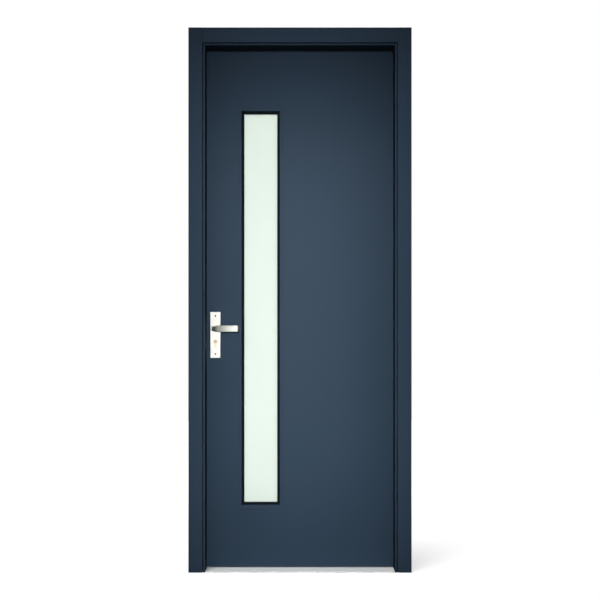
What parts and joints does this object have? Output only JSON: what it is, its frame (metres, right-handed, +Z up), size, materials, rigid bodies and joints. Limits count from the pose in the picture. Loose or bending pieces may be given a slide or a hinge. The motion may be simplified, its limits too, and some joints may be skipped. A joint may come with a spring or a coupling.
{
  "type": "composite door",
  "caption": "Flush composite door leaf with a tall narrow glazed light and lever handle, hung in a cased and rebated frame with seals, threshold, mortise lock and strike plate.",
  "frame": {"origin": "on the floor, at the middle of the frame's width and of the lining's depth", "axes": "+X to the right seen from the push side, +Y from the push side to the pull side, +Z up"},
  "size_m": [0.86, 0.1978, 2.1],
  "materials": {
    "frame_foil": "satin",
    "leaf_skin": "satin",
    "seal_rubber": "matte",
    "threshold_aluminium": "satin",
    "hinge_steel": "satin",
    "lock_steel": "satin",
    "handle_steel": "satin",
    "cylinder_brass": "satin",
    "core_timber": "matte",
    "core_foam": "matte",
    "glass": "matte"
  },
  "bodies": {
    "frame": {"lock_jamb": "frame_foil", "hinge_jamb": "frame_foil", "head_jamb": "frame_foil", "lock_side_stop": "frame_foil", "hinge_side_stop": "frame_foil", "head_stop": "frame_foil", "front_casing_lock_side": "frame_foil", "front_casing_hinge_side": "frame_foil", "front_casing_head": "frame_foil", "rear_casing_lock_side": "frame_foil", "rear_casing_hinge_side": "frame_foil", "rear_casing_head": "frame_foil", "lock_side_seal": "seal_rubber", "hinge_side_seal": "seal_rubber", "head_seal": "seal_rubber", "threshold": "threshold_aluminium", "strike_plate": "lock_steel", "upper_hinge_frame_plate": "hinge_steel", "middle_hinge_frame_plate": "hinge_steel", "lower_hinge_frame_plate": "hinge_steel", "upper_hinge_pin": "hinge_steel", "middle_hinge_pin": "hinge_steel", "lower_hinge_pin": "hinge_steel"},
    "leaf": {"front_skin": "leaf_skin", "rear_skin": "leaf_skin", "lock_stile": "core_timber", "hinge_stile": "core_timber", "top_rail": "core_timber", "bottom_rail": "core_timber", "window_side_trimmers": "core_timber", "window_cross_trimmers": "core_timber", "foam_core": "core_foam", "glass_pane": "glass", "front_glazing_gasket": "seal_rubber", "rear_glazing_gasket": "seal_rubber", "setting_blocks": "seal_rubber", "front_glazing_frame": "leaf_skin", "rear_glazing_frame": "leaf_skin", "lock_case": "lock_steel", "lock_cover": "lock_steel", "lock_forend": "lock_steel", "cylinder_body": "cylinder_brass", "front_handle_plate": "handle_steel", "rear_handle_plate": "handle_steel", "upper_hinge_leaf_plate": "hinge_steel", "middle_hinge_leaf_plate": "hinge_steel", "lower_hinge_leaf_plate": "hinge_steel"},
    "lever_set": {"front_lever": "handle_steel", "rear_lever": "handle_steel", "spindle": "lock_steel", "follower": "lock_steel"},
    "latch": {"latch_bolt": "lock_steel"},
    "key_plug": {"cylinder_plug": "cylinder_brass"},
    "dead_bolt": {"deadbolt": "lock_steel"}
  },
  "joints": [
    {"name": "leaf_swing", "type": "hinge", "parent": "frame", "child": "leaf", "pos_m": [0.3785, 0.072, 1.0245], "axis": [0, 0, -1], "range_deg": [0, 170]},
    {"name": "lever_turn", "type": "hinge", "parent": "leaf", "child": "lever_set", "pos_m": [-0.332, 0.0425, 0.94], "axis": [0, 1, 0], "range_deg": [0, 40], "stiffness_Nm_per_rad": 2, "springref_deg": -11.46},
    {"name": "latch_slide", "type": "slide", "parent": "leaf", "child": "latch", "axis": [-1, 0, 0], "range_m": [0, 0.011]},
    {"name": "key_turn", "type": "hinge", "parent": "leaf", "child": "key_plug", "pos_m": [-0.332, 0.0425, 0.89], "axis": [0, -1, 0], "range_deg": [0, 360]},
    {"name": "deadbolt_slide", "type": "slide", "parent": "leaf", "child": "dead_bolt", "axis": [-1, 0, 0], "range_m": [0, 0.02]}
  ],
  "couplings": [
    {"joint": "key_turn", "follows": "deadbolt_slide", "rad_per_m": 314.15}
  ]
}
